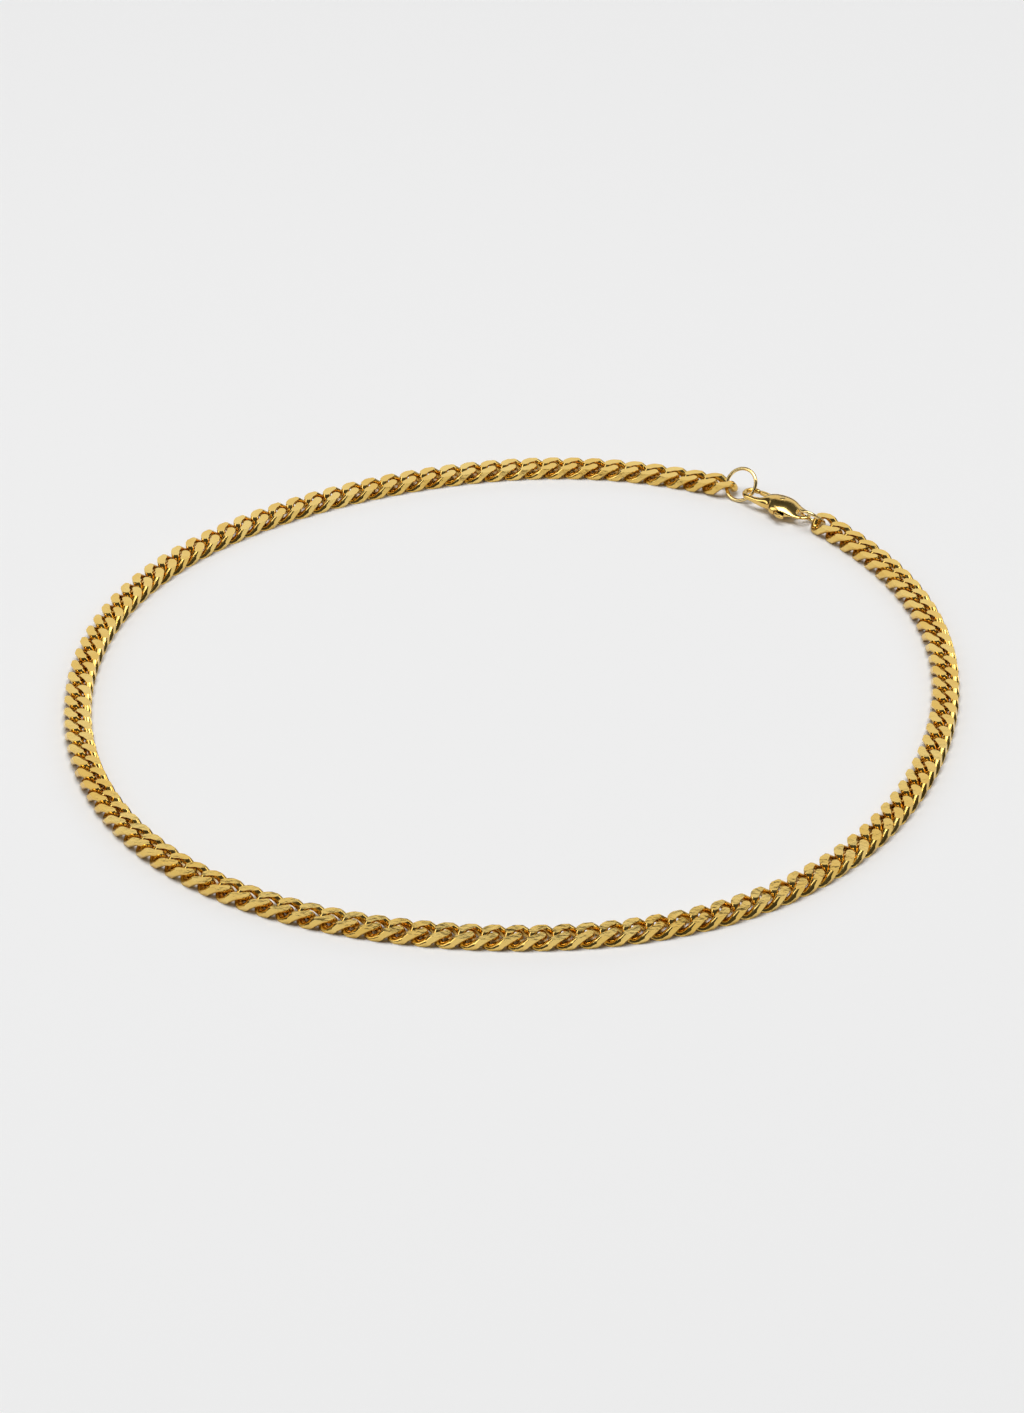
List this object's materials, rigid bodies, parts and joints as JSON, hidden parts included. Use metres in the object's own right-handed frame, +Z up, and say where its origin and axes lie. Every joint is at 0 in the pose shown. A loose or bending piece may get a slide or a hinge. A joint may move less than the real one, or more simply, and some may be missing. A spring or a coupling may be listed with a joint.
{
  "type": "chain necklace",
  "caption": "Flat curb chain necklace of linked twisted ovals, closed by a lobster clasp that hooks into a jump ring; a connector ring holds the clasp to the chain.",
  "frame": {"origin": "on the floor under the middle of the loop: z = 0 at the underside of the flat links, x and y half way across the chain", "axes": "+X right and +Y away, seen from the front with the clasp at the far right; +Z up from the floor"},
  "size_m": [0.1622, 0.1648, 0.0057],
  "materials": {
    "chain_gold": "polished gold plate over brass, flat cut facets",
    "clasp_gold": "polished gold plate over cast brass",
    "ring_gold": "bright drawn wire, pale gold plate",
    "spring_steel": "plain spring steel strip, hidden in the clasp"
  },
  "bodies": {
    "chain_back": {"chain_20": "chain_gold", "chain_21": "chain_gold"},
    "chain_19": {"chain_19": "chain_gold", "chain_18": "chain_gold"},
    "chain_17": {"chain_17": "chain_gold", "chain_16": "chain_gold", "chain_15": "chain_gold", "chain_14": "chain_gold", "chain_13": "chain_gold"},
    "chain_12": {"chain_12": "chain_gold"},
    "chain_11": {"chain_11": "chain_gold"},
    "chain_10": {"chain_10": "chain_gold"},
    "chain_09": {"chain_09": "chain_gold"},
    "chain_08": {"chain_08": "chain_gold"},
    "chain_07": {"chain_07": "chain_gold", "chain_06": "chain_gold", "chain_05": "chain_gold", "chain_04": "chain_gold", "chain_03": "chain_gold", "chain_02": "chain_gold"},
    "chain_01": {"chain_01": "chain_gold"},
    "chain_22": {"chain_22": "chain_gold", "chain_23": "chain_gold"},
    "chain_24": {"chain_24": "chain_gold", "chain_25": "chain_gold", "chain_26": "chain_gold", "chain_27": "chain_gold", "chain_28": "chain_gold"},
    "chain_29": {"chain_29": "chain_gold"},
    "chain_30": {"chain_30": "chain_gold"},
    "chain_31": {"chain_31": "chain_gold"},
    "chain_32": {"chain_32": "chain_gold"},
    "chain_33": {"chain_33": "chain_gold"},
    "chain_34": {"chain_34": "chain_gold", "chain_35": "chain_gold", "chain_36": "chain_gold", "chain_37": "chain_gold", "chain_38": "chain_gold", "chain_39": "chain_gold"},
    "chain_40": {"chain_40": "chain_gold"},
    "connector": {"connector_ring": "ring_gold"},
    "clasp": {"clasp_body": "clasp_gold", "lever_rivet": "clasp_gold", "lever_spring": "spring_steel"},
    "lever": {"clasp_lever": "clasp_gold"},
    "jump": {"jump_ring": "ring_gold"}
  },
  "joints": [
    {"name": "bend_28", "type": "hinge", "parent": "chain_24", "child": "chain_29", "pos_m": [-0.07547, 0.02093, 0.00115], "axis": [0, 0, 1], "range_deg": [-7.84, 7.84]},
    {"name": "bend_01", "type": "hinge", "parent": "chain_07", "child": "chain_01", "pos_m": [0.0661, 0.04892, 0.00115], "axis": [0, 0, 1], "range_deg": [-7.49, 7.49]},
    {"name": "bend_07", "type": "hinge", "parent": "chain_08", "child": "chain_07", "pos_m": [0.07499, -0.02033, 0.00115], "axis": [0, 0, 1], "range_deg": [-7.39, 7.39]},
    {"name": "bend_12", "type": "hinge", "parent": "chain_17", "child": "chain_12", "pos_m": [0.04205, -0.06887, 0.00115], "axis": [0, 0, 1], "range_deg": [-8.01, 8.01]},
    {"name": "bend_17", "type": "hinge", "parent": "chain_19", "child": "chain_17", "pos_m": [-0.01582, -0.07846, 0.00115], "axis": [0, 0, 1], "range_deg": [-5.43, 5.43]},
    {"name": "bend_19", "type": "hinge", "parent": "chain_back", "child": "chain_19", "pos_m": [-0.03869, -0.07143, 0.00115], "axis": [0, 0, 1], "range_deg": [-2.8, 2.8]},
    {"name": "bend_21", "type": "hinge", "parent": "chain_back", "child": "chain_22", "pos_m": [-0.05819, -0.05766, 0.00115], "axis": [0, 0, 1], "range_deg": [-2.91, 2.91]},
    {"name": "bend_23", "type": "hinge", "parent": "chain_22", "child": "chain_24", "pos_m": [-0.07145, -0.03781, 0.00115], "axis": [0, 0, 1], "range_deg": [-4.74, 4.74]},
    {"name": "bend_33", "type": "hinge", "parent": "chain_33", "child": "chain_34", "pos_m": [-0.03843, 0.06619, 0.00115], "axis": [0, 0, 1], "range_deg": [-7.35, 7.35]},
    {"name": "bend_39", "type": "hinge", "parent": "chain_34", "child": "chain_40", "pos_m": [0.03071, 0.07648, 0.00115], "axis": [0, 0, 1], "range_deg": [-7.25, 7.25]},
    {"name": "raise_11", "type": "hinge", "parent": "chain_12", "child": "chain_11", "pos_m": [0.05151, -0.06151, 0.00115], "axis": [0.795, -0.6066, 0], "range_deg": [0, 14]},
    {"name": "raise_29", "type": "hinge", "parent": "chain_29", "child": "chain_30", "pos_m": [-0.07123, 0.03214, 0.00115], "axis": [0.795, -0.6066, 0], "range_deg": [0, 14.01]},
    {"name": "raise_10", "type": "hinge", "parent": "chain_11", "child": "chain_10", "pos_m": [0.05953, -0.05261, 0.00115], "axis": [0.7952, -0.6064, 0], "range_deg": [0, 14]},
    {"name": "raise_30", "type": "hinge", "parent": "chain_30", "child": "chain_31", "pos_m": [-0.06516, 0.04248, 0.00115], "axis": [0.7952, -0.6064, 0], "range_deg": [0, 14.01]},
    {"name": "raise_09", "type": "hinge", "parent": "chain_10", "child": "chain_09", "pos_m": [0.06606, -0.04255, 0.00115], "axis": [0.7951, -0.6065, 0], "range_deg": [0, 14]},
    {"name": "raise_31", "type": "hinge", "parent": "chain_31", "child": "chain_32", "pos_m": [-0.05745, 0.05166, 0.00115], "axis": [0.7951, -0.6065, 0], "range_deg": [0, 14.01]},
    {"name": "raise_08", "type": "hinge", "parent": "chain_09", "child": "chain_08", "pos_m": [0.07118, -0.0317, 0.00115], "axis": [0.795, -0.6066, 0], "range_deg": [0, 14]},
    {"name": "raise_32", "type": "hinge", "parent": "chain_32", "child": "chain_33", "pos_m": [-0.04843, 0.05956, 0.00115], "axis": [0.795, -0.6066, 0], "range_deg": [0, 14.01]},
    {"name": "connector_ring_turn", "type": "hinge", "parent": "chain_01", "child": "connector", "pos_m": [0.05798, 0.0589, 0.00154], "axis": [0.787, -0.617, 0], "range_deg": [-4, 4]},
    {"name": "clasp_roll", "type": "hinge", "parent": "connector", "child": "clasp", "pos_m": [0.05648, 0.06007, 0.0017], "axis": [0.7866, -0.6167, -0.0306], "range_deg": [-4, 4]},
    {"name": "jump_ring_turn", "type": "hinge", "parent": "chain_40", "child": "jump", "pos_m": [0.0424, 0.07111, 0.00205], "axis": [0.787, -0.617, 0], "range_deg": [-4, 4]},
    {"name": "lever_turn", "type": "hinge", "parent": "clasp", "child": "lever", "pos_m": [0.05159, 0.06454, 0.00189], "axis": [0.0241, -0.0189, 0.9995], "range_deg": [0, 14], "stiffness_Nm_per_rad": 0.0004, "springref_deg": -5.73}
  ],
  "couplings": [
    {"joint": "bend_01", "follows": "bend_28", "ratio": 0.95409},
    {"joint": "bend_07", "follows": "bend_28", "ratio": -0.94112},
    {"joint": "bend_12", "follows": "bend_28", "ratio": -1.0207},
    {"joint": "bend_17", "follows": "bend_28", "ratio": 0.69102},
    {"joint": "bend_19", "follows": "bend_28", "ratio": 0.35627},
    {"joint": "bend_21", "follows": "bend_28", "ratio": -0.36954},
    {"joint": "bend_23", "follows": "bend_28", "ratio": -0.60391},
    {"joint": "bend_33", "follows": "bend_28", "ratio": 0.93589},
    {"joint": "bend_39", "follows": "bend_28", "ratio": -0.92288},
    {"joint": "raise_29", "follows": "raise_11", "ratio": 1},
    {"joint": "raise_30", "follows": "raise_10", "ratio": 1},
    {"joint": "raise_31", "follows": "raise_09", "ratio": 1},
    {"joint": "raise_32", "follows": "raise_08", "ratio": 1}
  ]
}
